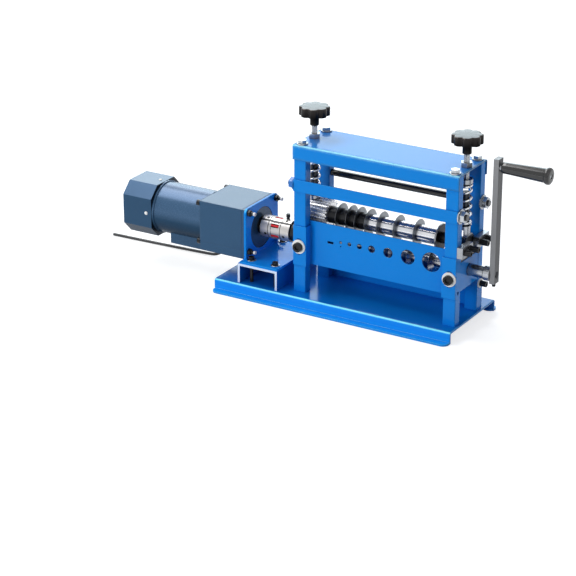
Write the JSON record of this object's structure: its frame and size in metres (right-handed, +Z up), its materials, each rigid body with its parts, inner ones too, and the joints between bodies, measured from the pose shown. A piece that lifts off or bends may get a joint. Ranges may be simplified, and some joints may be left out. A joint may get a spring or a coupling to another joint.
{
  "type": "electric wire stripper",
  "caption": "Bench cable stripper: blade roller over a grooved feed roller in a bolted frame, guide plate with holes, spring pressure screws, gearmotor with jaw coupling and hand crank.",
  "frame": {"origin": "middle of the footprint on the table, without the cord", "axes": "+X along the rollers from the motor to the crank, +Y along the wire from the guide plate to the rear, +Z up"},
  "size_m": [0.8589, 0.188, 0.327],
  "materials": {
    "blue_paint": "gloss enamel",
    "motor_paint": "satin enamel",
    "bright_steel": "turned and ground",
    "blade_steel": "ground",
    "zinc_steel": "bright zinc plated",
    "white_zinc": "matt zinc plated",
    "black_steel": "blackened",
    "lever_steel": "grey",
    "bronze": "plain",
    "copper": "enamelled wire",
    "black_plastic": "moulded",
    "aluminium": "turned",
    "red_rubber": "moulded",
    "cord_rubber": "matt"
  },
  "bodies": {
    "frame": {"base_plate": "blue_paint", "front_legs": "blue_paint", "rear_legs": "blue_paint", "top_cap": "blue_paint", "cap_bolts": "zinc_steel", "steel_washers": "zinc_steel", "hex_nuts": "zinc_steel", "front_crossbar": "blue_paint", "tie_rods": "black_steel", "guide_plate": "blue_paint", "guide_screws": "black_steel", "guide_washers": "white_zinc", "rear_plate": "blue_paint", "bearing_blocks": "blue_paint", "lower_bushes": "bronze", "bearing_retainers": "bright_steel", "socket_screws": "black_steel", "motor_riser": "blue_paint", "motor_bracket": "blue_paint", "gearbox_bolts": "black_steel", "gearbox_case": "motor_paint", "gearbox_cover": "motor_paint", "motor_body": "motor_paint", "stator": "bright_steel", "windings": "copper", "end_shield": "motor_paint", "fan_cover": "motor_paint", "terminal_box": "motor_paint", "cable_gland": "black_plastic", "power_cord": "cord_rubber"},
    "drive": {"feed_roller": "bright_steel", "lower_gear": "bright_steel", "roller_collar": "black_steel", "motor_hub": "aluminium", "roller_hub": "aluminium", "coupling_spider": "red_rubber", "output_shaft": "bright_steel", "crank_lever": "lever_steel", "clamp_screw": "black_steel", "grip_spindle": "bright_steel"},
    "grip": {"crank_grip": "black_plastic"},
    "carriage": {"saddles": "bright_steel", "upper_bushes": "black_steel", "left_spring": "zinc_steel", "right_spring": "zinc_steel"},
    "blade_roller": {"blade_shaft": "black_steel", "stripping_blades": "blade_steel", "end_blade": "black_steel", "black_spacers": "black_steel", "steel_spacers": "bright_steel", "blade_gear": "bright_steel"},
    "left_seat": {"left_spring_seat": "bright_steel"},
    "right_seat": {"right_spring_seat": "bright_steel"},
    "left_screw": {"left_knob": "black_plastic", "left_pressure_screw": "bright_steel"},
    "right_screw": {"right_knob": "black_plastic", "right_pressure_screw": "bright_steel"},
    "idler": {"idler_gears": "bright_steel"},
    "rotor": {"rotor": "bright_steel", "cooling_fan": "black_plastic"}
  },
  "joints": [
    {"name": "drive_turn", "type": "hinge", "parent": "frame", "child": "drive", "pos_m": [0.1031, -0.009, 0.103], "axis": [1, 0, 0], "continuous": true},
    {"name": "grip_spin", "type": "hinge", "parent": "drive", "child": "grip", "pos_m": [0.3431, -0.009, 0.283], "axis": [1, 0, 0], "continuous": true},
    {"name": "carriage_lift", "type": "slide", "parent": "frame", "child": "carriage", "axis": [0, 0, 1], "range_m": [0, 0.003], "stiffness_N_per_m": 8000, "springref_m": -0.005, "deforming": ["left_spring", "right_spring"]},
    {"name": "blade_turn", "type": "hinge", "parent": "carriage", "child": "blade_roller", "pos_m": [0.1031, -0.009, 0.147], "axis": [1, 0, 0], "continuous": true},
    {"name": "left_seat_travel", "type": "slide", "parent": "frame", "child": "left_seat", "axis": [0, 0, 1], "range_m": [-0.003, 0.003], "deforming": ["left_spring"]},
    {"name": "left_screw_turn", "type": "hinge", "parent": "left_seat", "child": "left_screw", "pos_m": [-0.0344, -0.009, 0.3], "axis": [0, 0, 1], "range_deg": [-720, 720]},
    {"name": "right_seat_travel", "type": "slide", "parent": "frame", "child": "right_seat", "axis": [0, 0, 1], "range_m": [-0.003, 0.003], "deforming": ["right_spring"]},
    {"name": "right_screw_turn", "type": "hinge", "parent": "right_seat", "child": "right_screw", "pos_m": [0.2406, -0.009, 0.3], "axis": [0, 0, 1], "range_deg": [-720, 720]},
    {"name": "idler_turn", "type": "hinge", "parent": "frame", "child": "idler", "pos_m": [-0.1969, 0.00103, 0.08119], "axis": [1, 0, 0], "continuous": true},
    {"name": "rotor_turn", "type": "hinge", "parent": "frame", "child": "rotor", "pos_m": [-0.2769, -0.009, 0.0985], "axis": [1, 0, 0], "continuous": true}
  ],
  "couplings": [
    {"joint": "blade_turn", "follows": "drive_turn", "ratio": -1},
    {"joint": "idler_turn", "follows": "drive_turn", "ratio": -5},
    {"joint": "rotor_turn", "follows": "drive_turn", "ratio": 20},
    {"joint": "left_screw_turn", "follows": "left_seat_travel", "rad_per_m": 4188.8},
    {"joint": "right_screw_turn", "follows": "right_seat_travel", "rad_per_m": 4188.8}
  ]
}
